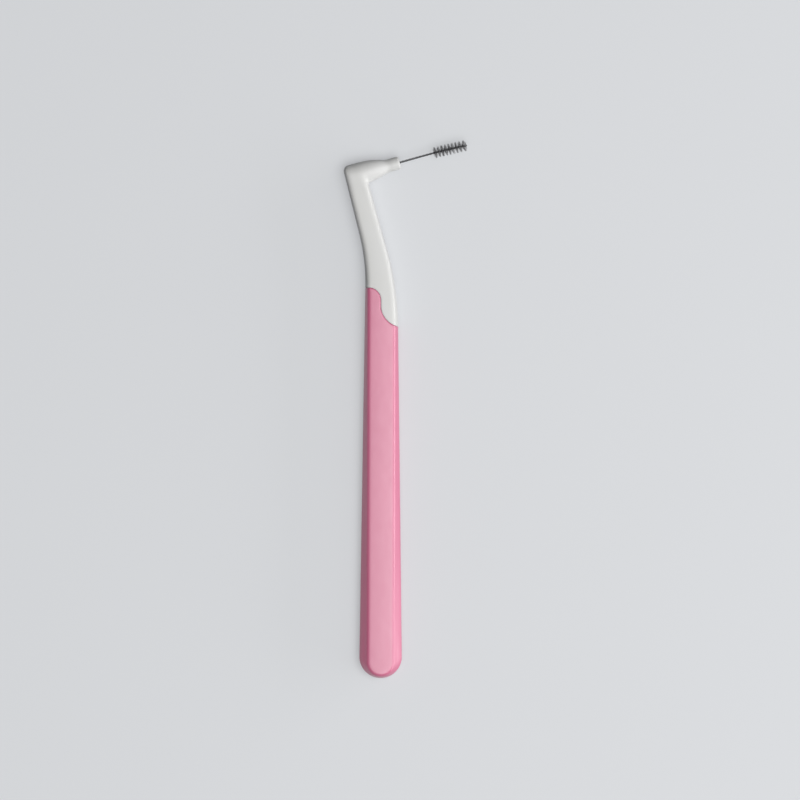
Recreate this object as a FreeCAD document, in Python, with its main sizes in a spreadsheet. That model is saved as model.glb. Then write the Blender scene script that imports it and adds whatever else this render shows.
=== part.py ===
import FreeCAD, Part
import math
import os

import Sketcher

# Interdental brush, lying on the flat back of its handle.
# +Z is up, +Y runs from the butt of the grip to the head, +X is the way the brush points.
# The origin is on the underside of the grip, near the point where the brush balances.
# A station is a distance along the handle, measured from the butt.

DIMENSIONS = [
    ("rest_station", 60.0, "butt to the origin"),
    ("thickness", 6.0, "back land to front land"),
    ("edge_butt_radius", 5.72, "round butt at the widest line"),
    ("edge_butt_station", 5.6, "centre of that round"),
    ("edge_taper", 0.86, "lean of each grip side towards the axis, degrees"),
    ("edge_right_bend", 78.0, "radius where the grip's right side turns into the neck"),
    ("edge_left_bend", 52.0, "radius where the grip's left side turns into the neck"),
    ("edge_neck_half", 2.78, "half width of the neck at the elbow"),
    ("edge_head_half", 3.1, "head axis to the top of the elbow"),
    ("edge_corner", 1.7, "corner radius of the elbow"),
    ("land_butt_radius", 3.4, "round end of the flat lands"),
    ("land_butt_station", 3.89, "centre of that round"),
    ("land_taper", -0.16, "lean of each land side, degrees"),
    ("land_right_bend", 72.0, "radius of the land's right side"),
    ("land_left_bend", 56.0, "radius of the land's left side"),
    ("land_neck_half", 2.4, "half width of the land at the elbow"),
    ("land_head_half", 2.85, "head axis to the top of the land"),
    ("land_corner", 1.6, "corner radius of the land"),
    ("land_round", 1.0, "rounding between land and flank"),
    ("edge_round", 0.5, "rounding of the widest line"),
    ("neck_tilt", 15.0, "lean of the neck, degrees"),
    ("neck_taper", 0.8, "lean of each neck side towards the neck's axis, degrees"),
    ("elbow_left", 6.9, "elbow centre to the grip's axis"),
    ("elbow_station", 131.65, "butt to the elbow centre"),
    ("head_rise", 16.0, "climb of the brush axis, degrees"),
    ("seam_left", 0.15, "upright stretch of the seam to the grip's axis"),
    ("seam_high_radius", 3.2, "round at the seam's upper end"),
    ("seam_high_station", 98.95, "centre of that round"),
    ("seam_low_radius", 5.6, "round at the seam's lower end"),
    ("seam_low_station", 97.5, "centre of that round"),
    ("margin", 2.0, "reach of a cutting form past the handle"),
    ("tang_root_station", 104.0, "start of the tang, inside the neck"),
    ("tang_length", 80.0, "length of the tang"),
    ("tang_root_half", 2.2, "half width of the tang at its root"),
    ("tang_tip_radius", 1.6, "round end of the tang"),
    ("tang_thickness", 2.4, "thickness of the tang"),
    ("window_half", 0.8, "half width of a lock window"),
    ("window_length", 6.0, "length of a lock window between its round ends"),
    ("window_station", 84.0, "middle of the first lock window"),
    ("window_step", 20.0, "lock window to lock window"),
    ("window_count", 3, "number of lock windows"),
    ("nozzle_length", 12.05, "elbow centre to the mouth"),
    ("head_radius", 2.98, "round head at the elbow"),
    ("root_length", 1.5, "straight stretch of the head inside the elbow"),
    ("shoulder_radius", 19.2, "convex profile of the cone"),
    ("throat_radius", 3.2, "concave profile of the cone"),
    ("cone_slope", 18.0, "steepest slope of the cone, degrees"),
    ("waist_radius", 1.66, "thinnest place, behind the collar"),
    ("collar_radius", 1.72, "collar that a travel cap grips"),
    ("collar_length", 2.0, "length of the collar"),
    ("collar_ramp", 0.6, "waist to collar"),
    ("mouth_chamfer", 0.3, "chamfer of the mouth"),
    ("strand_diameter", 0.25, "stainless wire"),
    ("strand_gap", 0.08, "room between the two legs for one filament"),
    ("twist_pitch", 1.86, "one full turn of the twist"),
    ("stem_length", 18.2, "mouth to the tip of the hairpin"),
    ("stem_embed", 4.5, "length moulded into the head"),
    ("hairpin_length", 0.6, "stretch where the twist dies out"),
    ("bore_clearance", 0.01, "room round the moulded-in wire"),
    ("field_start", 9.3, "mouth to the first filament"),
    ("brush_radius", 1.5, "wire axis to a filament's end"),
    ("filament_diameter", 0.078, "nylon filament"),
]

BRISTLE_ROWS = 9
FILAMENTS_PER_ROW = 10
FILAMENT_SIDES = 4
STRAND_SIDES = 5

# How a sketch names an edge's ends and centre, its own origin and its upright axis
START, END, MIDDLE = 1, 2, 3
ORIGIN = (-1, 1)
UPRIGHT_AXIS = -2
FLAT = 1e-4

Vector = FreeCAD.Vector
doc = FreeCAD.newDocument("InterdentalBrush")


def make_sheet():
    """Write the driving dimensions to a spreadsheet, one named cell each."""
    sheet = doc.addObject("Spreadsheet::Sheet", "Dimensions")
    for row, (alias, value, note) in enumerate(DIMENSIONS, start=1):
        sheet.set(f"A{row}", alias)
        sheet.set(f"B{row}", str(value))
        sheet.setAlias(f"B{row}", alias)
        sheet.set(f"C{row}", note)
    doc.recompute()
    return sheet


sheet = make_sheet()


def size(alias):
    """One driving dimension, read from the sheet."""
    return float(getattr(sheet, alias))


def cell(text):
    """An expression in which each driving dimension is the sheet's cell."""
    known = {alias for alias, _, _ in DIMENSIONS}
    return " ".join(f"Dimensions.{word}" if word in known else word for word in text.split())


def heading(degrees):
    """Unit vector in the plane of the handle."""
    return Vector(math.cos(math.radians(degrees)), math.sin(math.radians(degrees)), 0)


def side_of(direction):
    """Unit vector to the right of a direction in the plane of the handle."""
    return Vector(direction.y, -direction.x, 0)


def meet(point, direction, other_point, other_direction):
    """Where two lines in the plane of the handle cross."""
    across = side_of(other_direction)
    reach = (other_point - point).dot(across) / direction.dot(across)
    return point + direction * reach


class Drawing:
    """A sketch on a body's XY plane, with its measures bound to the sheet."""

    def __init__(self, body, name, height="0"):
        plane = next(f for f in body.Origin.OriginFeatures if f.Role == "XY_Plane")
        self.sketch = body.newObject("Sketcher::SketchObject", name)
        self.sketch.AttachmentSupport = (plane, [""])
        self.sketch.MapMode = "FlatFace"
        self.sketch.setExpression("AttachmentOffset.Base.z", cell(height))

    def point(self, place):
        """Add a construction point."""
        return self.sketch.addGeometry(Part.Point(place), True)

    def line(self, start, end):
        """Add a straight edge."""
        return self.sketch.addGeometry(Part.LineSegment(start, end), False)

    def arc(self, start, centre, end):
        """Add an arc, anticlockwise from start to end."""
        first = math.atan2(start.y - centre.y, start.x - centre.x)
        last = math.atan2(end.y - centre.y, end.x - centre.x)
        if last <= first:
            last += 2 * math.pi
        circle = Part.Circle(centre, Vector(0, 0, 1), (start - centre).Length)
        return self.sketch.addGeometry(Part.ArcOfCircle(circle, first, last), False)

    def corner(self, place, arriving, leaving, radius):
        """Add the arc that rounds a corner, and say where it starts and ends along the outline."""
        turn = arriving.getAngle(leaving)
        reach = radius * math.tan(turn / 2)
        start = place - arriving * reach
        end = place + leaving * reach
        left_turn = arriving.cross(leaving).z > 0
        inwards = side_of(arriving) * (-radius if left_turn else radius)
        centre = start + inwards
        arc = self.arc(start, centre, end) if left_turn else self.arc(end, centre, start)
        return arc, start, end

    def fix(self, *constraint):
        """Add a constraint that holds no measure."""
        self.sketch.addConstraint(Sketcher.Constraint(*constraint))

    def bind(self, text, *constraint):
        """Add a constraint whose measure follows the sheet."""
        index = self.sketch.addConstraint(Sketcher.Constraint(*constraint))
        self.sketch.setExpression(f"Constraints[{index}]", cell(text))


def handle_outline(body, name, kind, height):
    """Outline of the whole handle at one height: butt, grip, bend, neck and elbow.

    kind is edge for the widest line and land for a flat face.
    """
    drawing = Drawing(body, name, height)
    butt = Vector(0, size(f"{kind}_butt_station") - size("rest_station"), 0)
    butt_radius = size(f"{kind}_butt_radius")
    taper = size(f"{kind}_taper")
    elbow = Vector(-size("elbow_left"), size("elbow_station") - size("rest_station"), 0)
    up_right = heading(90 + taper)
    down_left = heading(-90 - taper)
    neck_up = heading(90 + size("neck_tilt") + size("neck_taper"))
    neck_down = heading(size("neck_tilt") - size("neck_taper") - 90)
    top_left = heading(size("head_rise") - 180)
    right_foot = butt + side_of(up_right) * butt_radius
    left_foot = butt + side_of(down_left) * butt_radius
    neck_right = elbow + side_of(neck_up) * size(f"{kind}_neck_half")
    neck_left = elbow + side_of(neck_down) * size(f"{kind}_neck_half")
    top = elbow + side_of(top_left) * size(f"{kind}_head_half")
    corner = size(f"{kind}_corner")

    low_right = meet(right_foot, up_right, neck_right, neck_up)
    high_right = meet(neck_right, neck_up, top, top_left)
    high_left = meet(top, top_left, neck_left, neck_down)
    low_left = meet(neck_left, neck_down, left_foot, down_left)
    butt_arc = drawing.arc(left_foot, butt, right_foot)
    right_bend, right_low, right_high = drawing.corner(low_right, up_right, neck_up,
                                                       size(f"{kind}_right_bend"))
    right_corner, right_top, top_right = drawing.corner(high_right, neck_up, top_left, corner)
    left_corner, top_end, left_top = drawing.corner(high_left, top_left, neck_down, corner)
    left_bend, left_high, left_low = drawing.corner(low_left, neck_down, down_left,
                                                    size(f"{kind}_left_bend"))
    grip_right = drawing.line(right_foot, right_low)
    neck_right_side = drawing.line(right_high, right_top)
    head_top = drawing.line(top_right, top_end)
    neck_left_side = drawing.line(left_top, left_high)
    grip_left = drawing.line(left_low, left_foot)
    centre = drawing.point(elbow)

    for first, first_end, second, second_end in [
        (butt_arc, END, grip_right, START),
        (grip_right, END, right_bend, START),
        (right_bend, END, neck_right_side, START),
        (neck_right_side, END, right_corner, START),
        (right_corner, END, head_top, START),
        (head_top, END, left_corner, START),
        (left_corner, END, neck_left_side, START),
        (neck_left_side, END, left_bend, END),
        (left_bend, START, grip_left, START),
        (grip_left, END, butt_arc, START),
    ]:
        drawing.fix("Tangent", first, first_end, second, second_end)
    drawing.fix("PointOnObject", butt_arc, MIDDLE, UPRIGHT_AXIS)
    drawing.bind(f"rest_station - {kind}_butt_station", "DistanceY", butt_arc, MIDDLE, *ORIGIN, -butt.y)
    drawing.bind(f"{kind}_butt_radius", "Radius", butt_arc, butt_radius)
    drawing.bind("elbow_left", "DistanceX", centre, START, *ORIGIN, -elbow.x)
    drawing.bind("elbow_station - rest_station", "DistanceY", *ORIGIN, centre, START, elbow.y)
    for side, half in [(neck_right_side, f"{kind}_neck_half"), (neck_left_side, f"{kind}_neck_half"),
                       (head_top, f"{kind}_head_half")]:
        drawing.bind(half, "Distance", centre, START, side, size(half))
    for bend, radius in [(right_bend, f"{kind}_right_bend"), (left_bend, f"{kind}_left_bend"),
                         (right_corner, f"{kind}_corner"), (left_corner, f"{kind}_corner")]:
        drawing.bind(radius, "Radius", bend, size(radius))
    for side, text, direction in [
        (grip_right, f"90 + {kind}_taper", up_right),
        (grip_left, f"-90 - {kind}_taper", down_left),
        (neck_right_side, "90 + neck_tilt + neck_taper", neck_up),
        (neck_left_side, "neck_tilt - neck_taper - 90", neck_down),
        (head_top, "head_rise - 180", top_left),
    ]:
        drawing.bind(text, "Angle", side, math.atan2(direction.y, direction.x))
    return drawing.sketch


def rounds_at(shape, height, radius):
    """Rounds for the edges that lie flat at one height: edge number, first radius and last radius."""
    return [(number, radius, radius) for number, edge in enumerate(shape.Edges, start=1)
            if all(abs(vertex.Z - height) < FLAT for vertex in edge.Vertexes)]


def make_blank():
    """Outer form of the handle, before the seam divides it into grip and core."""
    body = doc.addObject("PartDesign::Body", "HandleBlank")
    back = handle_outline(body, "BackLand", "land", "0")
    widest = handle_outline(body, "WidestLine", "edge", "thickness / 2")
    front = handle_outline(body, "FrontLand", "land", "thickness")
    doc.recompute()
    loft = body.newObject("PartDesign::AdditiveLoft", "Flanks")
    loft.Profile = front
    loft.Sections = [widest, back]
    loft.Ruled = True
    doc.recompute()
    rounded = doc.addObject("Part::Fillet", "RoundedBlank")
    rounded.Base = body
    rounded.Edges = (rounds_at(body.Shape, 0, size("land_round"))
                     + rounds_at(body.Shape, size("thickness") / 2, size("edge_round"))
                     + rounds_at(body.Shape, size("thickness"), size("land_round")))
    doc.recompute()
    return boolean("Cut", "HandleForm", rounded, make_elbow_bite())


def make_elbow_bite():
    """What is cut from the top of the elbow to leave a half-round, in line with the head."""
    body = doc.addObject("PartDesign::Body", "ElbowBite")
    drawing = Drawing(body, "ElbowRound")
    radius = size("thickness") / 2
    top = size("edge_head_half") + size("margin")
    side = size("thickness") / 2 + size("margin")
    ceiling = drawing.line(Vector(top, -side, 0), Vector(top, side, 0))
    front = drawing.line(Vector(top, side, 0), Vector(0, side, 0))
    front_foot = drawing.line(Vector(0, side, 0), Vector(0, radius, 0))
    barrel = drawing.arc(Vector(0, -radius, 0), Vector(0, 0, 0), Vector(0, radius, 0))
    back_foot = drawing.line(Vector(0, -radius, 0), Vector(0, -side, 0))
    back = drawing.line(Vector(0, -side, 0), Vector(top, -side, 0))
    for first, first_end, second, second_end in [
        (ceiling, END, front, START),
        (front, END, front_foot, START),
        (front_foot, END, barrel, END),
        (barrel, START, back_foot, START),
        (back_foot, END, back, START),
        (back, END, ceiling, START),
    ]:
        drawing.fix("Coincident", first, first_end, second, second_end)
    for plumb in (ceiling, front_foot, back_foot):
        drawing.fix("Vertical", plumb)
    for level in (front, back):
        drawing.fix("Horizontal", level)
    drawing.fix("Coincident", barrel, MIDDLE, *ORIGIN)
    drawing.fix("PointOnObject", barrel, START, UPRIGHT_AXIS)
    drawing.bind("thickness / 2", "Radius", barrel, radius)
    drawing.bind("edge_head_half + margin", "DistanceX", *ORIGIN, ceiling, START, top)
    drawing.bind("thickness / 2 + margin", "DistanceY", *ORIGIN, ceiling, END, side)
    drawing.bind("thickness / 2 + margin", "DistanceY", ceiling, START, *ORIGIN, side)
    doc.recompute()
    pad = body.newObject("PartDesign::Pad", "ElbowBiteLength")
    pad.Profile = drawing.sketch
    pad.setExpression("Length", cell("4 * edge_neck_half"))
    pad.Midplane = True
    along_head = FreeCAD.Rotation(Vector(1, 1, 1), 120)
    body.Placement = head_placement(0) * FreeCAD.Placement(Vector(0, 0, 0), along_head)
    doc.recompute()
    return body


def make_seam_zone():
    """Everything on the grip's side of the S-shaped seam between grip and neck."""
    body = doc.addObject("PartDesign::Body", "SeamZone")
    drawing = Drawing(body, "Seam", "- margin")
    upright = -size("seam_left")
    low = Vector(upright + size("seam_low_radius"), size("seam_low_station") - size("rest_station"), 0)
    high = Vector(upright - size("seam_high_radius"), size("seam_high_station") - size("rest_station"), 0)
    half = size("edge_butt_radius") + size("margin")
    floor = -size("rest_station") - size("margin")
    low_end = low - Vector(0, size("seam_low_radius"), 0)
    high_end = high + Vector(0, size("seam_high_radius"), 0)
    low_top = Vector(upright, low.y, 0)
    high_foot = Vector(upright, high.y, 0)
    corners = [Vector(-half, floor, 0), Vector(half, floor, 0), Vector(half, low_end.y, 0),
               Vector(-half, high_end.y, 0)]

    bottom = drawing.line(corners[0], corners[1])
    right = drawing.line(corners[1], corners[2])
    low_line = drawing.line(corners[2], low_end)
    low_arc = drawing.arc(low_top, low, low_end)
    step = drawing.line(low_top, high_foot)
    high_arc = drawing.arc(high_foot, high, high_end)
    high_line = drawing.line(high_end, corners[3])
    left = drawing.line(corners[3], corners[0])

    for first, second in [(bottom, right), (right, low_line), (high_line, left), (left, bottom)]:
        drawing.fix("Coincident", first, END, second, START)
    for first, first_end, second, second_end in [(low_line, END, low_arc, END), (low_arc, START, step, START),
                                                 (step, END, high_arc, START),
                                                 (high_arc, END, high_line, START)]:
        drawing.fix("Tangent", first, first_end, second, second_end)
    for level in (bottom, low_line, high_line):
        drawing.fix("Horizontal", level)
    for plumb in (right, step, left):
        drawing.fix("Vertical", plumb)
    drawing.bind("seam_left", "DistanceX", step, START, *ORIGIN, -upright)
    drawing.bind("seam_low_radius", "Radius", low_arc, size("seam_low_radius"))
    drawing.bind("seam_high_radius", "Radius", high_arc, size("seam_high_radius"))
    drawing.bind("seam_low_station - rest_station", "DistanceY", *ORIGIN, low_arc, MIDDLE, low.y)
    drawing.bind("seam_high_station - rest_station", "DistanceY", *ORIGIN, high_arc, MIDDLE, high.y)
    drawing.bind("rest_station + margin", "DistanceY", bottom, START, *ORIGIN, -floor)
    drawing.bind("edge_butt_radius + margin", "DistanceX", bottom, START, *ORIGIN, half)
    drawing.bind("edge_butt_radius + margin", "DistanceX", *ORIGIN, bottom, END, half)
    doc.recompute()
    pad = body.newObject("PartDesign::Pad", "SeamWall")
    pad.Profile = drawing.sketch
    pad.setExpression("Length", cell("thickness + 2 * margin"))
    doc.recompute()
    return body


def make_tang():
    """Flat tongue of the core that the grip is moulded round, with windows that lock the two."""
    body = doc.addObject("PartDesign::Body", "Tang")
    outline = Drawing(body, "TangOutline", "( thickness - tang_thickness ) / 2")
    root = size("tang_root_station") - size("rest_station")
    radius = size("tang_tip_radius")
    half = size("tang_root_half")
    tip = Vector(0, root - size("tang_length") + radius, 0)
    drop = Vector(half, root, 0) - tip
    lean = math.atan2(drop.y, drop.x) - math.acos(radius / drop.Length)
    foot = Vector(radius * math.cos(lean), radius * math.sin(lean), 0)
    right_foot = tip + foot
    left_foot = tip + Vector(-foot.x, foot.y, 0)
    top = outline.line(Vector(half, root, 0), Vector(-half, root, 0))
    left = outline.line(Vector(-half, root, 0), left_foot)
    end_arc = outline.arc(left_foot, tip, right_foot)
    right = outline.line(right_foot, Vector(half, root, 0))
    outline.fix("Coincident", top, END, left, START)
    outline.fix("Coincident", right, END, top, START)
    outline.fix("Tangent", left, END, end_arc, START)
    outline.fix("Tangent", end_arc, END, right, START)
    outline.fix("Symmetric", top, START, top, END, UPRIGHT_AXIS)
    outline.fix("PointOnObject", end_arc, MIDDLE, UPRIGHT_AXIS)
    outline.bind("tang_root_station - rest_station", "DistanceY", *ORIGIN, top, START, root)
    outline.bind("2 * tang_root_half", "DistanceX", top, END, top, START, 2 * half)
    outline.bind("tang_tip_radius", "Radius", end_arc, radius)
    outline.bind("tang_length - tang_tip_radius", "DistanceY", end_arc, MIDDLE, top, START, root - tip.y)
    doc.recompute()
    pad = body.newObject("PartDesign::Pad", "TangPlate")
    pad.Profile = outline.sketch
    pad.setExpression("Length", cell("tang_thickness"))
    doc.recompute()

    slot = Drawing(body, "LockWindow", "( thickness + tang_thickness ) / 2")
    middle = size("window_station") - size("rest_station")
    reach = Vector(0, size("window_length") / 2, 0)
    across = Vector(size("window_half"), 0, 0)
    upper = Vector(0, middle, 0) + reach
    lower = Vector(0, middle, 0) - reach
    cap = slot.arc(upper + across, upper, upper - across)
    slot_left = slot.line(upper - across, lower - across)
    cup = slot.arc(lower - across, lower, lower + across)
    slot_right = slot.line(lower + across, upper + across)
    for first, second in [(cap, slot_left), (slot_left, cup), (cup, slot_right), (slot_right, cap)]:
        slot.fix("Tangent", first, END, second, START)
    slot.fix("Vertical", slot_right)
    slot.fix("PointOnObject", cap, MIDDLE, UPRIGHT_AXIS)
    slot.bind("window_half", "Radius", cap, size("window_half"))
    slot.bind("window_length", "DistanceY", cup, MIDDLE, cap, MIDDLE, size("window_length"))
    slot.bind("window_station + window_length / 2 - rest_station", "DistanceY", *ORIGIN, cap, MIDDLE, upper.y)
    doc.recompute()
    window = body.newObject("PartDesign::Pocket", "Window")
    window.Profile = slot.sketch
    window.setExpression("Length", cell("tang_thickness"))
    doc.recompute()
    windows = body.newObject("PartDesign::LinearPattern", "Windows")
    windows.Originals = [window]
    windows.Direction = (slot.sketch, ["V_Axis"])
    windows.Reversed = True
    windows.setExpression("Length", cell("window_step * ( window_count - 1 )"))
    windows.setExpression("Occurrences", cell("window_count"))
    body.Tip = windows
    doc.recompute()
    return body


def head_placement(along):
    """Placement on the brush axis, a distance from the elbow centre, with X along the axis."""
    elbow = Vector(-size("elbow_left"), size("elbow_station") - size("rest_station"), size("thickness") / 2)
    place = elbow + heading(size("head_rise")) * along
    return FreeCAD.Placement(place, FreeCAD.Rotation(Vector(0, 0, 1), size("head_rise")))


def make_nozzle():
    """Head and nozzle, turned about the brush axis: cone, waist and the collar at the mouth."""
    body = doc.addObject("PartDesign::Body", "Nozzle")
    drawing = Drawing(body, "NozzleProfile")
    slope = math.radians(size("cone_slope"))
    length = size("nozzle_length")
    head_radius = size("head_radius")
    shoulder = size("shoulder_radius")
    throat = size("throat_radius")
    waist = size("waist_radius")
    collar = size("collar_radius")
    chamfer = size("mouth_chamfer")
    crown = Vector(size("root_length"), head_radius, 0)
    cone_top = crown + Vector(shoulder * math.sin(slope), shoulder * (math.cos(slope) - 1), 0)
    cone_end_height = waist + throat * (1 - math.cos(slope))
    cone_end = Vector(cone_top.x + (cone_top.y - cone_end_height) / math.tan(slope), cone_end_height, 0)
    waist_start = Vector(cone_end.x + throat * math.sin(slope), waist, 0)
    collar_start = Vector(length - size("collar_length"), collar, 0)
    waist_end = Vector(collar_start.x - size("collar_ramp"), waist, 0)
    collar_end = Vector(length - chamfer, collar, 0)
    mouth_edge = Vector(length, collar - chamfer, 0)

    back = drawing.line(Vector(0, 0, 0), Vector(0, head_radius, 0))
    root = drawing.line(Vector(0, head_radius, 0), crown)
    shoulder_arc = drawing.arc(cone_top, crown - Vector(0, shoulder, 0), crown)
    cone = drawing.line(cone_top, cone_end)
    throat_arc = drawing.arc(cone_end, waist_start + Vector(0, throat, 0), waist_start)
    waist_line = drawing.line(waist_start, waist_end)
    ramp = drawing.line(waist_end, collar_start)
    collar_line = drawing.line(collar_start, collar_end)
    mouth_rim = drawing.line(collar_end, mouth_edge)
    face = drawing.line(mouth_edge, Vector(length, 0, 0))
    axis = drawing.line(Vector(length, 0, 0), Vector(0, 0, 0))

    for first, second in [(back, root), (waist_line, ramp), (ramp, collar_line), (collar_line, mouth_rim),
                          (mouth_rim, face), (face, axis), (axis, back)]:
        drawing.fix("Coincident", first, END, second, START)
    for first, first_end, second, second_end in [
        (root, END, shoulder_arc, END),
        (shoulder_arc, START, cone, START),
        (cone, END, throat_arc, START),
        (throat_arc, END, waist_line, START),
    ]:
        drawing.fix("Tangent", first, first_end, second, second_end)
    for level in (axis, root, waist_line, collar_line):
        drawing.fix("Horizontal", level)
    for plumb in (back, face):
        drawing.fix("Vertical", plumb)
    drawing.fix("Coincident", back, START, *ORIGIN)
    drawing.bind("head_radius", "DistanceY", back, START, back, END, head_radius)
    drawing.bind("root_length", "DistanceX", root, START, root, END, crown.x)
    drawing.bind("shoulder_radius", "Radius", shoulder_arc, shoulder)
    drawing.bind("throat_radius", "Radius", throat_arc, throat)
    drawing.bind("- cone_slope", "Angle", cone, -slope)
    drawing.bind("waist_radius", "DistanceY", *ORIGIN, waist_line, START, waist)
    drawing.bind("nozzle_length", "DistanceX", axis, END, axis, START, length)
    drawing.bind("collar_length", "DistanceX", collar_line, START, axis, START, size("collar_length"))
    drawing.bind("collar_ramp", "DistanceX", ramp, START, ramp, END, size("collar_ramp"))
    drawing.bind("collar_radius", "DistanceY", *ORIGIN, collar_line, START, collar)
    drawing.bind("mouth_chamfer", "DistanceX", mouth_rim, START, mouth_rim, END, chamfer)
    drawing.bind("mouth_chamfer", "DistanceY", mouth_rim, END, mouth_rim, START, chamfer)
    doc.recompute()
    turned = body.newObject("PartDesign::Revolution", "TurnedHead")
    turned.Profile = drawing.sketch
    turned.ReferenceAxis = (drawing.sketch, ["H_Axis"])
    turned.Angle = 360
    body.Placement = head_placement(0)
    doc.recompute()
    return body


def make_bore():
    """Round space in the nozzle that the moulded-in end of the wire fills."""
    bore = doc.addObject("Part::Cylinder", "WireBore")
    bore.setExpression("Radius", cell("strand_diameter + strand_gap / 2 + bore_clearance"))
    bore.setExpression("Height", cell("stem_embed + strand_diameter"))
    inwards = FreeCAD.Rotation(Vector(0, 1, 0), -90)
    bore.Placement = head_placement(size("nozzle_length")) * FreeCAD.Placement(Vector(0, 0, 0), inwards)
    return bore


def boolean(kind, name, base, tool):
    """A cut, common or fuse of two objects of the document."""
    result = doc.addObject(f"Part::{kind}", name)
    result.Base = base
    result.Tool = tool
    result.Refine = True
    doc.recompute()
    return result


def make_handle():
    """The two mouldings of the handle: the grip and the core that it is moulded round."""
    blank = make_blank()
    zone = make_seam_zone()
    tang = make_tang()
    nozzle = make_nozzle()
    grip = boolean("Cut", "Grip", boolean("Common", "GripBlank", blank, zone), tang)
    grip.Label = "grip"
    neck = boolean("Cut", "Neck", blank, zone)
    neck_and_tang = boolean("Fuse", "NeckAndTang", neck, tang)
    moulding = boolean("Fuse", "CoreMoulding", neck_and_tang, nozzle)
    core = boolean("Cut", "Core", moulding, make_bore())
    core.Label = "handle_core"
    return [grip, core]


def twist_angle(along):
    """Turn of the wire at a distance from the mouth, in radians; it dies out before the hairpin's fold."""
    rate = 2 * math.pi / size("twist_pitch")
    length = size("hairpin_length")
    start = fold_centre() - length
    past = max(0.0, along - start)
    return rate * (along - past * past / (2 * length))


def twist_rate(along):
    """Rate of that turn, in radians per millimetre."""
    rate = 2 * math.pi / size("twist_pitch")
    length = size("hairpin_length")
    past = max(0.0, along - (fold_centre() - length))
    return rate * (1 - past / length)


def strand_offset():
    """Axis of the twist to the axis of one leg of the wire."""
    return (size("strand_diameter") + size("strand_gap")) / 2


def fold_centre():
    """Mouth to the centre of the hairpin's fold."""
    return size("stem_length") - size("strand_diameter") / 2 - strand_offset()


def leg_point(along, phase):
    """Place and direction of one leg of the wire."""
    turn = twist_angle(along) + phase
    reach = strand_offset()
    speed = twist_rate(along) * reach
    place = Vector(along, reach * math.cos(turn), reach * math.sin(turn))
    direction = Vector(1, -speed * math.sin(turn), speed * math.cos(turn))
    return place, direction.normalize()


def tangent_arc(start, direction, end):
    """Arc from a point along a direction to another point."""
    chord = end - start
    along = Vector(chord).normalize()
    sideways = direction - along * direction.dot(along)
    bulge = math.tan(direction.getAngle(along) / 2) * chord.Length / 2
    middle = start + chord / 2 + sideways.normalize() * bulge
    return Part.Arc(start, middle, end).toShape()


def biarc(start, start_direction, end, end_direction):
    """Two arcs that join two points, smooth at both and where they meet."""
    span = end - start
    both = start_direction + end_direction
    square = 2 * (1 - start_direction.dot(end_direction))
    linear = 2 * span.dot(both)
    reach = (math.sqrt(linear ** 2 + 4 * square * span.dot(span)) - linear) / (2 * square)
    joint = (start + start_direction * reach + end - end_direction * reach) / 2
    second = tangent_arc(end, end_direction * -1, joint)
    return [tangent_arc(start, start_direction, joint), second.reversed()]


def make_wire():
    """Stem: one wire folded into a hairpin and twisted, with the fold at the tip of the brush."""
    inner = -size("stem_embed")
    outer = fold_centre()
    half_turn = size("twist_pitch") / 2
    straight_twist = outer - size("hairpin_length") - inner
    count = round(straight_twist / half_turn)
    places = [inner + straight_twist * number / count for number in range(count + 1)]
    places.append(outer)
    path = []
    for phase, order in [(0.0, places), (math.pi, places[::-1])]:
        stops = [leg_point(along, phase) for along in order]
        if phase:
            stops = [(place, direction * -1) for place, direction in stops]
        for (start, start_direction), (end, end_direction) in zip(stops, stops[1:]):
            path.extend(biarc(start, start_direction, end, end_direction))
        if not phase:
            tip = Vector(outer + strand_offset(), 0, 0)
            path.append(Part.Arc(stops[-1][0], tip, leg_point(outer, math.pi)[0]).toShape())
    spine = Part.Wire(path)
    start, direction = leg_point(inner, 0.0)
    rim = Part.makeCircle(size("strand_diameter") / 2, start, direction)
    profile = Part.makePolygon(rim.discretize(STRAND_SIDES + 1))
    shell = Part.BRepOffsetAPI.MakePipeShell(spine)
    shell.add(profile)
    shell.build()
    shell.makeSolid()
    wire = doc.addObject("Part::Feature", "StemWire")
    wire.Shape = shell.shape()
    wire.Placement = head_placement(size("nozzle_length"))
    wire.Label = "stem_wire"
    return wire


def make_bristles():
    """Nylon filaments, each pinched square between the legs of the wire; one row to each half turn."""
    stem = head_placement(size("nozzle_length"))
    step = size("twist_pitch") / 2 / FILAMENTS_PER_ROW
    rows = []
    for row in range(BRISTLE_ROWS):
        filaments = []
        for number in range(FILAMENTS_PER_ROW):
            along = size("field_start") + (row * FILAMENTS_PER_ROW + number + 0.5) * step
            lie = FreeCAD.Rotation(Vector(1, 0, 0), math.degrees(twist_angle(along)))
            end = Vector(along, 0, 0) - lie.multVec(Vector(0, 0, size("brush_radius")))
            filament = doc.addObject("Part::Prism", f"Filament_{row + 1}_{number + 1}")
            filament.Polygon = FILAMENT_SIDES
            filament.setExpression("Circumradius", cell("filament_diameter / 2"))
            filament.setExpression("Height", cell("2 * brush_radius"))
            filament.Placement = stem * FreeCAD.Placement(end, lie)
            filaments.append(filament)
        tuft = doc.addObject("Part::Compound", f"BristleRow_{row + 1}")
        tuft.Links = filaments
        tuft.Label = f"bristle_row_{row + 1}"
        rows.append(tuft)
    doc.recompute()
    return rows


def check_objects(sub_parts):
    """Stop if an object failed or a sub-part has no sound solid."""
    failed = [item.Name for item in doc.Objects if {"Invalid", "Error"} & set(item.State)]
    unsound = [item.Label for item in sub_parts if item.Shape.isNull() or not item.Shape.isValid()]
    if failed or unsound:
        raise RuntimeError(f"failed {failed}, unsound {unsound}")


sub_parts = make_handle() + [make_wire()] + make_bristles()
check_objects(sub_parts)
os.makedirs("parts", exist_ok=True)
for item in sub_parts:
    item.Shape.exportStep(f"parts/{item.Label}.step")
    print(item.Label, len(item.Shape.Solids), round(item.Shape.Volume, 3))
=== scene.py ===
import logging
import math
import random
from dataclasses import dataclass
from enum import Enum
from typing import Callable, Union

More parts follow.
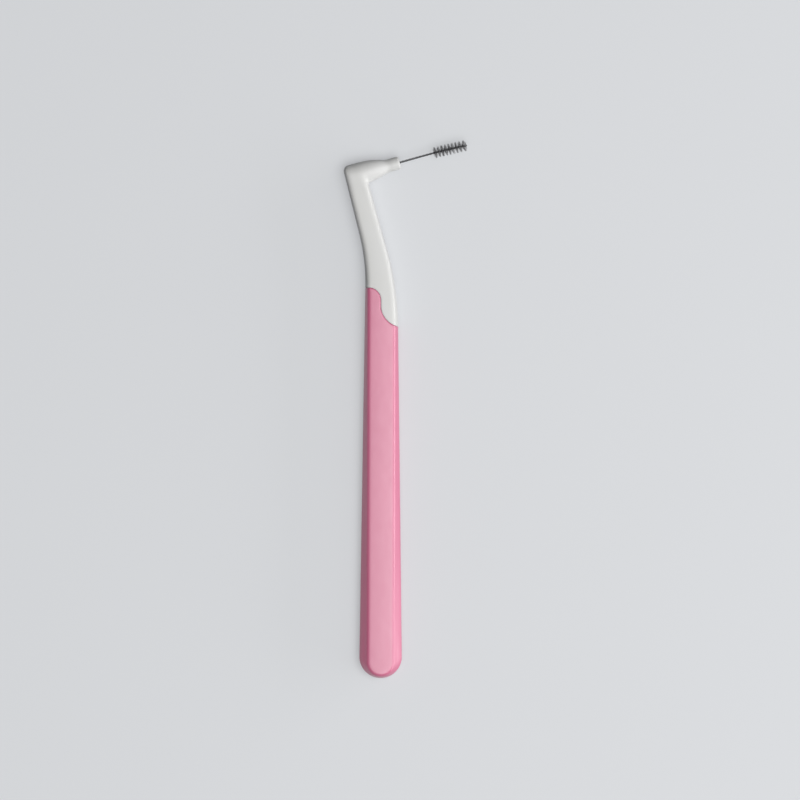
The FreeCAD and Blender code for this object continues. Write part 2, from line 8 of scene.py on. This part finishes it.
import bmesh
import bpy
from mathutils import Matrix, Vector


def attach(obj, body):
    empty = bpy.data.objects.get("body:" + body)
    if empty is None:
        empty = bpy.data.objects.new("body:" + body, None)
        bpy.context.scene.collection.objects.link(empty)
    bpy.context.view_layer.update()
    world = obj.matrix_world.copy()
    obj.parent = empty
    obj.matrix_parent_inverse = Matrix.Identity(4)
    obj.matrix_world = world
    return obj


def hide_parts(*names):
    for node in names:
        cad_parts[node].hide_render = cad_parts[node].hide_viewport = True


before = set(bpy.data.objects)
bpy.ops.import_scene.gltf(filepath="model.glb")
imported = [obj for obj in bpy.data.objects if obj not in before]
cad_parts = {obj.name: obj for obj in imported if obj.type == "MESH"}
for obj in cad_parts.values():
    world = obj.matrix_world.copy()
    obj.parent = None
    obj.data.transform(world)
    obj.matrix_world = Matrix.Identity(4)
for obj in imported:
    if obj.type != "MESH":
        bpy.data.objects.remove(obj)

# Interdental brush: a pink grip moulded round a white core, and a twisted-wire brush in its head.
# It lies on its flat back. +Y runs from the butt to the head, +X is the way the brush points.

LOG = logging.getLogger("interdental_brush")
MM = 0.001
Colour = tuple[float, float, float]
Place = tuple[float, float, float]
Span = tuple[float, float]


def linear(red: int, green: int, blue: int) -> Colour:
    """Turn a colour seen on a screen into the renderer's own scale.

    Args:
        red: red, 0 to 255.
        green: green, 0 to 255.
        blue: blue, 0 to 255.

    Returns:
        The colour in linear light.
    """
    shares = (level / 255 for level in (red, green, blue))
    return tuple(s / 12.92 if s <= 0.04045 else ((s + 0.055) / 1.055) ** 2.4 for s in shares)


def step(value: float, span: Span) -> float:
    """Go smoothly from 0 at one value to 1 at another.

    Args:
        value: where it is read.
        span: value that gives 0 and value that gives 1.

    Returns:
        The smooth step.
    """
    low, high = span
    share = min(1.0, max(0.0, (value - low) / (high - low)))
    return share * share * (3.0 - 2.0 * share)


def deselect() -> None:
    """Leave edit mode and deselect everything, so that an operator acts on the new piece only."""
    if bpy.context.mode != "OBJECT":
        bpy.ops.object.mode_set(mode="OBJECT")
    bpy.ops.object.select_all(action="DESELECT")


class Arithmetic(Enum):
    """What a Math node does."""

    ADD = "ADD"
    SUBTRACT = "SUBTRACT"
    MULTIPLY = "MULTIPLY"
    UNSIGN = "ABSOLUTE"


class Value:
    """A number that varies over a surface, with ordinary arithmetic."""

    def __init__(self, graph: "Graph", socket: bpy.types.NodeSocket) -> None:
        """Wrap one output socket of a graph."""
        self.graph = graph
        self.socket = socket

    def __add__(self, other: "Number") -> "Value":
        """Sum."""
        return self.graph.math(Arithmetic.ADD, self, other)

    def __radd__(self, other: "Number") -> "Value":
        """Sum, number first."""
        return self.graph.math(Arithmetic.ADD, other, self)

    def __sub__(self, other: "Number") -> "Value":
        """Difference."""
        return self.graph.math(Arithmetic.SUBTRACT, self, other)

    def __rsub__(self, other: "Number") -> "Value":
        """Difference, number first."""
        return self.graph.math(Arithmetic.SUBTRACT, other, self)

    def __mul__(self, other: "Number") -> "Value":
        """Product."""
        return self.graph.math(Arithmetic.MULTIPLY, self, other)

    def __rmul__(self, other: "Number") -> "Value":
        """Product, number first."""
        return self.graph.math(Arithmetic.MULTIPLY, other, self)

    def __abs__(self) -> "Value":
        """Size without sign."""
        return self.graph.math(Arithmetic.UNSIGN, self)

    def ramp(self, low: float, high: float) -> "Value":
        """Go smoothly from 0 at one value to 1 at another.

        Args:
            low: value that gives 0.
            high: value that gives 1.

        Returns:
            The smooth step.
        """
        settings = {"interpolation_type": "SMOOTHSTEP"}
        sockets = {"Value": self, "From Min": low, "From Max": high}
        return Value(self.graph, self.graph.node("ShaderNodeMapRange", settings, sockets).outputs["Result"])


Number = Union[Value, float]


class Graph:
    """A material's nodes."""

    def __init__(self, name: str) -> None:
        """Start an empty material."""
        self.material = bpy.data.materials.new(name)
        self.material.use_nodes = True
        self.tree = self.material.node_tree
        self.tree.nodes.clear()

    def node(self, kind: str, settings: dict, sockets: dict) -> bpy.types.Node:
        """Add a node.

        Args:
            kind: type of the node.
            settings: its properties.
            sockets: a value or a link for each input, by name or by number.

        Returns:
            The node.
        """
        made = self.tree.nodes.new(kind)
        for key, setting in settings.items():
            setattr(made, key, setting)
        for key, given in sockets.items():
            if isinstance(key, int):
                entry = made.inputs[key]
            else:
                entry = next(s for s in made.inputs if s.enabled and s.name == key)
            source = given.socket if isinstance(given, Value) else given
            if isinstance(source, bpy.types.NodeSocket):
                self.tree.links.new(source, entry)
            elif entry.type == "RGBA" and len(source) == 3:
                entry.default_value = (*source, 1.0)
            else:
                entry.default_value = source
        return made

    def math(self, operation: Arithmetic, *terms: Number) -> Value:
        """Add a Math node and wrap its result."""
        node = self.node("ShaderNodeMath", {"operation": operation.value}, dict(enumerate(terms)))
        return Value(self, node.outputs[0])

    def place(self, stretch: Place = (1.0, 1.0, 1.0)) -> bpy.types.NodeSocket:
        """Give the point on the piece in millimetres, stretched along each axis.

        Args:
            stretch: how much finer a pattern gets along each axis.

        Returns:
            The point.
        """
        where = self.node("ShaderNodeTexCoord", {}, {}).outputs["Object"]
        scale = tuple(share / MM for share in stretch)
        return self.node("ShaderNodeMapping", {}, {"Vector": where, "Scale": scale}).outputs["Vector"]

    def height(self) -> Value:
        """Give the height of the point on the piece, in millimetres."""
        split = self.node("ShaderNodeSeparateXYZ", {}, {"Vector": self.place()})
        return Value(self, split.outputs["Z"])

    def noise(self, scale: float, detail: float, stretch: Place = (1.0, 1.0, 1.0)) -> Value:
        """Add a noise pattern.

        Args:
            scale: features to a millimetre.
            detail: how many finer layers it has.
            stretch: how much finer it gets along each axis.

        Returns:
            The pattern, about 0.5 on average.
        """
        sockets = {"Vector": self.place(stretch), "Scale": scale, "Detail": detail}
        return Value(self, self.node("ShaderNodeTexNoise", {}, sockets).outputs["Fac"])

    def mix(self, share: Number, under: object, over: object) -> bpy.types.NodeSocket:
        """Lay one colour over another.

        Args:
            share: how much of the upper colour shows.
            under: lower colour.
            over: upper colour.

        Returns:
            The colour.
        """
        sockets = {"Factor": share, "A": under, "B": over}
        node = self.node("ShaderNodeMix", {"data_type": "RGBA"}, sockets)
        return next(s for s in node.outputs if s.enabled)

    def bump(self, height: Value, distance: float, under: object = None) -> bpy.types.NodeSocket:
        """Raise the surface by a pattern.

        Args:
            height: the pattern.
            distance: height of 1, in millimetres.
            under: normal that it is laid on, where there is one.

        Returns:
            The normal.
        """
        sockets = {"Height": height, "Distance": distance * MM, "Strength": 1.0}
        if under is not None:
            sockets["Normal"] = under
        return self.node("ShaderNodeBump", {}, sockets).outputs["Normal"]

    def finish(self, sockets: dict) -> bpy.types.Material:
        """Close the graph with a surface shader.

        Args:
            sockets: the shader's inputs.

        Returns:
            The material.
        """
        shader = self.node("ShaderNodeBsdfPrincipled", {}, sockets)
        self.node("ShaderNodeOutputMaterial", {}, {"Surface": shader.outputs["BSDF"]})
        return self.material


@dataclass(frozen=True)
class GlossPlastic:
    """Glossy moulded plastic with pigment flow, a fine skin and a mould line at half height.

    Heights are in millimetres.
    """

    name: str
    colour: Colour
    flow_colour: Colour
    roughness: float
    sheen: float
    polish: float
    ior: float
    polish_roughness: float = 0.45
    handling_share: float = 0.14
    speck_share: float = 0.05
    speck_shade: float = 0.7
    skin_height: float = 0.004
    mould_line_at: float = 3.0
    mould_line_height: float = 0.012

    def material(self) -> bpy.types.Material:
        """Make the finish."""
        graph = Graph(self.name)
        flow = graph.noise(scale=0.16, detail=4.0, stretch=(1.0, 0.25, 1.0)).ramp(0.35, 0.65)
        speck = graph.noise(scale=9.0, detail=1.0).ramp(0.55, 0.75)
        speck_colour = tuple(self.speck_shade * c for c in self.colour)
        base = graph.mix(flow, self.colour, self.flow_colour)
        base = graph.mix(speck * self.speck_share, base, speck_colour)
        handling = graph.noise(scale=0.8, detail=5.0, stretch=(1.0, 0.4, 1.0))
        roughness = self.roughness + self.handling_share * (handling - 0.5)
        mould_line = 1.0 - abs(graph.height() - self.mould_line_at).ramp(0.02, 0.06)
        skin = graph.bump(graph.noise(scale=2.2, detail=3.0), self.skin_height)
        normal = graph.bump(mould_line, self.mould_line_height, skin)
        return graph.finish({"Base Color": base, "Roughness": roughness, "IOR": self.ior,
                             "Specular IOR Level": self.sheen, "Coat Weight": self.polish,
                             "Coat Roughness": self.polish_roughness, "Normal": normal})


@dataclass(frozen=True)
class DrawnSteel:
    """Dark drawn stainless wire."""

    name: str
    colour: Colour
    stain_colour: Colour
    roughness: float = 0.28
    stain_roughness: float = 0.2
    draw_height: float = 0.002

    def material(self) -> bpy.types.Material:
        """Make the finish."""
        graph = Graph(self.name)
        stain = graph.noise(scale=6.0, detail=3.0).ramp(0.4, 0.7)
        base = graph.mix(stain, self.colour, self.stain_colour)
        roughness = self.roughness + self.stain_roughness * graph.noise(scale=14.0, detail=2.0)
        normal = graph.bump(graph.noise(scale=40.0, detail=2.0), self.draw_height)
        return graph.finish({"Base Color": base, "Metallic": 1.0, "Roughness": roughness, "Normal": normal})


@dataclass(frozen=True)
class BristleNylon:
    """Dark nylon filament, each one a little lighter or darker than the next."""

    name: str
    colour: Colour
    pale_colour: Colour
    roughness: float = 0.36
    rough_share: float = 0.16
    skin_height: float = 0.001
    ior: float = 1.53

    def material(self) -> bpy.types.Material:
        """Make the finish."""
        graph = Graph(self.name)
        shade = graph.noise(scale=11.0, detail=1.0).ramp(0.35, 0.7)
        base = graph.mix(shade, self.colour, self.pale_colour)
        roughness = self.roughness + self.rough_share * graph.noise(scale=25.0, detail=1.0)
        normal = graph.bump(graph.noise(scale=60.0, detail=1.0), self.skin_height)
        return graph.finish({"Base Color": base, "Roughness": roughness, "IOR": self.ior, "Normal": normal})


@dataclass(frozen=True)
class PaleCard:
    """Pale card under the brush, with a faint tooth and a gentle shadow."""

    name: str
    colour: Colour
    bounce: Colour
    lift: float
    glow: float = 0.9
    tooth_shade: float = 0.985

    def material(self) -> bpy.types.Material:
        """Make the finish: what is seen or mirrored is lifted, and what lights the brush is grey card."""
        graph = Graph(self.name)
        tooth = graph.noise(scale=0.02, detail=3.0)
        base = graph.mix(tooth, self.colour, tuple(self.tooth_shade * c for c in self.colour))
        card = graph.node("ShaderNodeBsdfDiffuse", {}, {"Color": base})
        glow = graph.node("ShaderNodeEmission", {}, {"Color": self.colour, "Strength": self.glow})
        seen = graph.node("ShaderNodeMixShader", {}, {0: self.lift, 1: card.outputs["BSDF"],
                                                      2: glow.outputs["Emission"]})
        plain = graph.node("ShaderNodeBsdfDiffuse", {}, {"Color": self.bounce})
        path = graph.node("ShaderNodeLightPath", {}, {})
        camera, glossy, through = (Value(graph, path.outputs[f"Is {ray} Ray"])
                                   for ray in ("Camera", "Glossy", "Transmission"))
        both = graph.node("ShaderNodeMixShader", {}, {0: camera + glossy + through,
                                                      1: plain.outputs["BSDF"],
                                                      2: seen.outputs["Shader"]})
        graph.node("ShaderNodeOutputMaterial", {}, {"Surface": both.outputs["Shader"]})
        return graph.material


PINK = GlossPlastic("grip_plastic", linear(204, 99, 136), linear(201, 96, 133),
                    roughness=0.45, sheen=1.0, polish=0.7, ior=1.6)
WHITE = GlossPlastic("core_plastic", linear(212, 212, 211), linear(210, 210, 208),
                     roughness=0.45, sheen=0.5, polish=0.0, ior=1.49)
STEEL = DrawnSteel("wire_steel", linear(80, 80, 82), linear(60, 59, 60))
NYLON = BristleNylon("filament_nylon", linear(96, 96, 98), linear(132, 132, 134))
CARD = PaleCard("pale_card", linear(222, 224, 227), linear(90, 92, 95), lift=0.5)


@dataclass(frozen=True)
class HandleLines:
    """Lines of the handle that its mouldings share, in millimetres."""

    mid_height: float = 3.0
    elbow: Place = (-6.9, 71.65, 3.0)
    neck_tilt: float = 15.0
    lean_softness: float = 1.5
    seam_left: float = 0.15
    seam_high_radius: float = 3.2
    seam_high: float = 38.95
    seam_low_radius: float = 5.6
    seam_low: float = 37.5

    def axis(self, along: float) -> float:
        """Side place of the handle's middle line at a place along it; the neck leans away softly."""
        lean = self.elbow[0] + (self.elbow[1] - along) * math.tan(math.radians(self.neck_tilt))
        return 0.5 * (lean - math.hypot(lean, self.lean_softness))

    def seam_gap(self, across: float, along: float) -> float:
        """Distance to the S-shaped seam.

        Args:
            across: side place.
            along: place along the handle.

        Returns:
            The shortest distance to one of the seam's three stretches.
        """
        left = -self.seam_left
        if along > self.seam_high and across < left:
            return abs(math.hypot(across - left + self.seam_high_radius, along - self.seam_high)
                       - self.seam_high_radius)
        if along < self.seam_low and across > left:
            return abs(math.hypot(across - left - self.seam_low_radius, along - self.seam_low)
                       - self.seam_low_radius)
        return math.hypot(across - left, max(0.0, self.seam_low - along, along - self.seam_high))


@dataclass
class Moulding:
    """One plastic shot of the handle: the solid's own form, with the soft edges of a moulding.

    Lengths are in millimetres. A span gives where a share of the work starts and where it is full.
    """

    node: str
    finish: GlossPlastic
    grain: float
    lines: HandleLines = HandleLines()
    weld: float = 0.002
    relaxing: float = 0.5
    skin_relaxing: int = 3
    edge_relaxing: int = 10
    edge_heights: Span = (0.8, 1.8)
    seam_margin: Span = (0.5, 1.3)
    nozzle_reach: Span = (1.5, 4.5)
    head_start: Span = (66.0, 68.0)
    elbow_relaxing: int = 70
    elbow_heights: Span = (0.3, 1.3)
    elbow_reach: Span = (4.0, 7.0)
    crown: float = 0.08
    crown_half: float = 2.6
    crown_limit: float = 1.4
    crown_heights: Span = (1.0, 2.4)
    crown_end: Span = (62.0, 68.0)

    def build(self) -> bpy.types.Object:
        """Copy the solid, close its surface, soften it and crown its lands.

        Returns:
            The finished piece.
        """
        deselect()
        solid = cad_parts[self.node]
        piece = bpy.data.objects.new(f"{self.node}_shot", solid.data.copy())
        bpy.context.scene.collection.objects.link(piece)
        piece.select_set(True)
        bpy.context.view_layer.objects.active = piece
        bpy.ops.object.mode_set(mode="EDIT")
        bpy.ops.mesh.select_all(action="SELECT")
        bpy.ops.mesh.remove_doubles(threshold=self.weld * MM)
        bpy.ops.object.mode_set(mode="OBJECT")
        skin = piece.modifiers.new("skin", "REMESH")
        skin.mode = "VOXEL"
        skin.voxel_size = self.grain * MM
        bpy.ops.object.modifier_apply(modifier=skin.name)
        self.relax(piece, "skin_relaxing", self.skin_relaxing, lambda place: 1.0)
        self.relax(piece, "edge_relaxing", self.edge_relaxing, self.edge_share)
        self.relax(piece, "elbow_relaxing", self.elbow_relaxing, self.elbow_share)
        self.crown_lands(piece)
        bpy.ops.object.shade_smooth()
        return piece

    def relax(self, piece: bpy.types.Object, name: str, rounds: int,
              share: Callable[[Vector], float]) -> None:
        """Even out part of the surface.

        Args:
            piece: the moulding.
            name: name of the step.
            rounds: how often it is evened out.
            share: how much a place in millimetres takes part, 0 to 1.
        """
        group = piece.vertex_groups.new(name=name)
        for corner in piece.data.vertices:
            group.add([corner.index], share(corner.co / MM), "REPLACE")
        soft = piece.modifiers.new(name, "SMOOTH")
        soft.factor = self.relaxing
        soft.iterations = rounds
        soft.vertex_group = group.name
        bpy.ops.object.modifier_apply(modifier=soft.name)
        piece.vertex_groups.clear()

    def edge_share(self, place: Vector) -> float:
        """How much a place belongs to the round between land and flank, away from seam and nozzle."""
        lines = self.lines
        high = step(abs(place.z - lines.mid_height), self.edge_heights)
        off_seam = step(lines.seam_gap(place.x, place.y), self.seam_margin)
        past_elbow = (place - Vector(lines.elbow)).x
        off_nozzle = 1.0 - step(past_elbow, self.nozzle_reach) * step(place.y, self.head_start)
        return high * off_seam * off_nozzle

    def elbow_share(self, place: Vector) -> float:
        """How much a place belongs to the elbow, where neck and head flow together."""
        reach = (place - Vector(self.lines.elbow)).length
        high = step(abs(place.z - self.lines.mid_height), self.elbow_heights)
        return high * (1.0 - step(reach, self.elbow_reach))

    def crown_lands(self, piece: bpy.types.Object) -> None:
        """Let the flat lands fall away a little towards their sides."""
        for corner in piece.data.vertices:
            place = corner.co / MM
            height = place.z - self.lines.mid_height
            aside = min(self.crown_limit, abs(place.x - self.lines.axis(place.y)) / self.crown_half)
            share = step(abs(height), self.crown_heights) * (1.0 - step(place.y, self.crown_end))
            corner.co.z -= math.copysign(self.crown * aside * aside * share * MM, height)

    def dress(self, piece: bpy.types.Object) -> None:
        """Give the piece its finish and its place in the frame."""
        piece.data.materials.clear()
        piece.data.materials.append(self.finish.material())
        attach(piece, "root")
        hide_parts(self.node)


@dataclass
class Brush:
    """Twisted hairpin of wire with filaments pinched between its legs.

    Lengths are in millimetres and angles in degrees. A distance along the brush starts at the nozzle's mouth.
    """

    steel: DrawnSteel = STEEL
    nylon: BristleNylon = NYLON
    mouth: Place = (4.683, 74.971, 3.0)
    rise: float = 16.0
    strand_radius: float = 0.125
    strand_offset: float = 0.165
    pitch: float = 1.86
    embed: float = 4.5
    stem_length: float = 18.2
    fading: float = 0.6
    bend_start: float = 5.0
    bend: float = 0.0028
    steps_per_turn: int = 24
    fold_steps: int = 10
    weld: float = 0.001
    wire_smoothing: float = 50.0
    field_start: float = 9.3
    reach: float = 1.5
    filament_radius: float = 0.036
    filament_sides: int = 5
    filament_cuts: int = 5
    filament_smoothing: float = 60.0
    end_facing: float = 0.9
    end_inset: float = 0.4
    rows: int = 9
    filaments_per_row: int = 22
    tip_splay: float = 20.0
    tip_power: int = 8
    root_splay: float = 5.0
    root_power: int = 10
    lean_spread: float = 3.0
    turn_spread: float = 5.0
    length_spread: float = 0.03
    bow_spread: float = 0.05
    seed: int = 11

    @property
    def fold(self) -> float:
        """Distance of the fold's centre."""
        return self.stem_length - self.strand_radius - self.strand_offset

    @property
    def frame_matrix(self) -> Matrix:
        """Turn the brush's own axes, X along the wire, into the scene's."""
        turn = Matrix.Rotation(math.radians(self.rise), 4, "Z")
        return Matrix.Translation(Vector(self.mouth)) @ turn

    def twist(self, along: float) -> float:
        """Turn of the wire at a distance, in radians; it dies out before the fold."""
        past = max(0.0, along - (self.fold - self.fading))
        return math.tau / self.pitch * (along - past * past / (2 * self.fading))

    def sag(self, along: float) -> float:
        """Side step of the slightly bent wire at a distance."""
        return -self.bend * max(0.0, along - self.bend_start) ** 2

    def leg(self, along: float, phase: float) -> Vector:
        """Place on one leg of the wire, in the brush's own axes."""
        turn = self.twist(along) + phase
        across = Vector((0.0, math.cos(turn), math.sin(turn))) * self.strand_offset
        return Vector((along, self.sag(along), 0.0)) + across

    def route(self) -> list[Vector]:
        """Line of the wire, up one leg, round the fold and down the other."""
        length = self.fold + self.embed
        count = round(length / self.pitch * self.steps_per_turn)
        stations = [length * number / count - self.embed for number in range(count + 1)]
        up = [self.leg(along, 0.0) for along in stations]
        down = [self.leg(along, math.pi) for along in reversed(stations)]
        middle = Vector((self.fold, self.sag(self.fold), 0.0))
        across = up[-1] - middle
        ahead = Vector((self.strand_offset, 0.0, 0.0))
        bends = [math.pi * number / self.fold_steps for number in range(1, self.fold_steps)]
        arch = [middle + across * math.cos(b) + ahead * math.sin(b) for b in bends]
        return up + arch + down

    def build_stem(self) -> bpy.types.Object:
        """Sweep the round wire along its line.

        Returns:
            The stem.
        """
        deselect()
        bpy.ops.curve.primitive_nurbs_path_add()
        stem = bpy.context.object
        stem.name = "twisted_stem"
        line = stem.data
        line.splines.clear()
        route = [self.frame_matrix @ point for point in self.route()]
        spline = line.splines.new("NURBS")
        spline.points.add(len(route) - 1)
        for knot, point in zip(spline.points, route):
            knot.co = (*(point * MM), 1.0)
        spline.order_u = 3
        spline.use_endpoint_u = True
        spline.resolution_u = 1
        line.dimensions = "3D"
        line.bevel_depth = self.strand_radius * MM
        line.bevel_resolution = 3
        line.use_fill_caps = True
        bpy.ops.object.convert(target="MESH")
        bpy.ops.object.mode_set(mode="EDIT")
        bpy.ops.mesh.select_all(action="SELECT")
        bpy.ops.mesh.remove_doubles(threshold=self.weld * MM)
        bpy.ops.mesh.normals_make_consistent(inside=False)
        bpy.ops.object.mode_set(mode="OBJECT")
        bpy.ops.object.shade_smooth_by_angle(angle=math.radians(self.wire_smoothing))
        return stem

    def model_filament(self) -> bpy.types.Object:
        """Model one filament along Z, with rings to bend it by and an inset face on each end.

        Returns:
            The pattern that every filament is copied from.
        """
        deselect()
        bpy.ops.mesh.primitive_cylinder_add(vertices=self.filament_sides, radius=self.filament_radius,
                                            depth=2 * self.reach)
        pattern = bpy.context.object
        bpy.ops.object.mode_set(mode="EDIT")
        bpy.ops.mesh.select_all(action="DESELECT")
        mesh = bmesh.from_edit_mesh(pattern.data)
        for edge in mesh.edges:
            first, last = (corner.co for corner in edge.verts)
            edge.select_set(abs(first.z - last.z) > self.reach)
        bmesh.update_edit_mesh(pattern.data)
        bpy.ops.mesh.subdivide(number_cuts=self.filament_cuts)
        bpy.ops.mesh.select_all(action="DESELECT")
        mesh = bmesh.from_edit_mesh(pattern.data)
        for face in mesh.faces:
            face.select_set(abs(face.normal.z) > self.end_facing)
        bmesh.update_edit_mesh(pattern.data)
        bpy.ops.mesh.inset(thickness=self.end_inset * self.filament_radius)
        bpy.ops.object.mode_set(mode="OBJECT")
        bpy.ops.object.shade_smooth_by_angle(angle=math.radians(self.filament_smoothing))
        return pattern

    def splay(self, along: float) -> float:
        """Lean of a filament in radians; it grows at both ends of the brush."""
        share = (along - self.field_start) / (self.fold - self.field_start)
        at_tip = math.radians(self.tip_splay) * share ** self.tip_power
        at_root = math.radians(self.root_splay) * (1.0 - share) ** self.root_power
        return at_tip - at_root

    def lay_filament(self, pattern: bpy.types.Object, along: float,
                     chance: random.Random) -> bpy.types.Object:
        """Copy the pattern into its place between the legs, a little bent and off true.

        Args:
            pattern: the filament to copy.
            along: distance of the pinch.
            chance: seeded chance.

        Returns:
            The copy.
        """
        copy = bpy.data.objects.new("filament", pattern.data.copy())
        bpy.context.scene.collection.objects.link(copy)
        lean = self.splay(along) + math.radians(chance.gauss(0.0, self.lean_spread))
        turn = self.twist(along) + math.radians(chance.gauss(0.0, self.turn_spread))
        length = 1.0 - abs(chance.gauss(0.0, self.length_spread))
        curl = chance.gauss(0.0, self.bow_spread)
        sway = chance.gauss(0.0, self.bow_spread)
        for corner in copy.data.vertices:
            out = abs(corner.co.z) / self.reach
            corner.co.z *= length
            corner.co.x += (math.tan(lean) * self.reach + curl * out) * out
            corner.co.y += sway * out * out
        place = Matrix.Translation((along, self.sag(along), 0.0)) @ Matrix.Rotation(turn, 4, "X")
        copy.data.transform(Matrix.Scale(MM, 4) @ self.frame_matrix @ place)
        return copy

    def build_rows(self) -> list[bpy.types.Object]:
        """Fill the twist with filaments, one piece to each half turn.

        Returns:
            The rows, from the handle's end.
        """
        chance = random.Random(self.seed)
        pattern = self.model_filament()
        spacing = self.pitch / 2 / self.filaments_per_row
        rows = []
        for row in range(self.rows):
            numbers = range(row * self.filaments_per_row, (row + 1) * self.filaments_per_row)
            pinches = [self.field_start + (number + 0.5) * spacing for number in numbers]
            copies = [self.lay_filament(pattern, along, chance) for along in pinches]
            deselect()
            for copy in copies:
                copy.select_set(True)
            bpy.context.view_layer.objects.active = copies[0]
            bpy.ops.object.join()
            copies[0].name = f"filaments_{row + 1}"
            rows.append(copies[0])
        bpy.data.objects.remove(pattern)
        return rows

    def dress(self, stem: bpy.types.Object, rows: list[bpy.types.Object]) -> None:
        """Give wire and filaments their finishes and their places in the frame.

        Args:
            stem: the wire.
            rows: the filaments.
        """
        wire = self.steel.material()
        hair = self.nylon.material()
        dressing = [(stem, "stem_wire", self.steel, wire)]
        for number, row in enumerate(rows, start=1):
            dressing.append((row, f"bristle_row_{number}", self.nylon, hair))
        for piece, node, finish, material in dressing:
            piece.data.materials.clear()
            piece.data.materials.append(material)
            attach(piece, "root")
            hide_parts(node)


@dataclass(frozen=True)
class Lamp:
    """An oblong soft lamp, in metres; its glow is how bright its face is."""

    name: str
    place: Place
    sides: Span
    glow: float

    def hang(self, target: Vector) -> None:
        """Hang the lamp so that it faces a place."""
        data = bpy.data.lights.new(self.name, "AREA")
        data.shape = "RECTANGLE"
        data.size, data.size_y = self.sides
        data.energy = self.glow * math.pi * self.sides[0] * self.sides[1]
        lamp = bpy.data.objects.new(self.name, data)
        bpy.context.scene.collection.objects.link(lamp)
        lamp.location = self.place
        towards = target - Vector(self.place)
        lamp.rotation_euler = towards.to_track_quat("-Z", "Y").to_euler()


@dataclass
class Studio:
    """Pale floor, soft lamps and a camera straight above, in metres; the sensor is in millimetres."""

    card: PaleCard = CARD
    centre: Place = (4.92 * MM, 12.76 * MM, 3.0 * MM)
    field: float = 209.6 * MM
    distance: float = 1.5
    sensor: float = 36.0
    roll: float = 0.14
    clip: Span = (0.01, 20.0)
    floor_size: float = 6.0
    floor_cells: int = 24
    air_glow: float = 0.1
    lamps: tuple[Lamp, ...] = (Lamp("top_lamp", (0.26, -0.22, 1.15), (1.15, 1.0), 3.8),
                               Lamp("key_lamp", (0.85, -0.2, 0.55), (0.7, 0.4), 0.8),
                               Lamp("side_lamp", (0.7, 0.03, 0.1), (1.1, 0.2), 6.2))

    def lay_floor(self) -> None:
        """Lay the flat floor."""
        deselect()
        bpy.ops.mesh.primitive_grid_add(x_subdivisions=self.floor_cells, y_subdivisions=self.floor_cells,
                                        size=self.floor_size)
        floor = bpy.context.object
        floor.name = "floor"
        floor.data.materials.append(self.card.material())

    def light(self) -> None:
        """Light the brush softly, from above and from the right."""
        world = bpy.data.worlds.new("studio_air")
        world.use_nodes = True
        air = world.node_tree.nodes["Background"].inputs
        air["Color"].default_value = (1.0, 1.0, 1.0, 1.0)
        air["Strength"].default_value = self.air_glow
        bpy.context.scene.world = world
        for lamp in self.lamps:
            lamp.hang(Vector(self.centre))

    def set_camera(self) -> None:
        """Look straight down, with the field of the photograph."""
        data = bpy.data.cameras.new("camera")
        data.sensor_width = self.sensor
        data.lens = self.sensor * self.distance / self.field
        camera = bpy.data.objects.new("camera", data)
        bpy.context.scene.collection.objects.link(camera)
        camera.location = Vector(self.centre) + Vector((0.0, 0.0, self.distance))
        camera.rotation_euler = (0.0, 0.0, math.radians(self.roll))
        data.clip_start, data.clip_end = self.clip
        bpy.context.scene.camera = camera
        bpy.context.scene.view_settings.view_transform = "Standard"


def main() -> None:
    """Build the scene and report its pieces."""
    logging.basicConfig(level=logging.INFO, format="%(message)s")
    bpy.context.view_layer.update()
    studio = Studio()
    studio.lay_floor()
    studio.light()
    studio.set_camera()
    for moulding in (Moulding("grip", PINK, grain=0.22), Moulding("handle_core", WHITE, grain=0.17)):
        piece = moulding.build()
        moulding.dress(piece)
        LOG.info("%s: %d faces", piece.name, len(piece.data.polygons))
    brush = Brush()
    stem = brush.build_stem()
    rows = brush.build_rows()
    brush.dress(stem, rows)
    for piece in (stem, *rows):
        LOG.info("%s: %d faces", piece.name, len(piece.data.polygons))


if __name__ == "__main__":
    main()
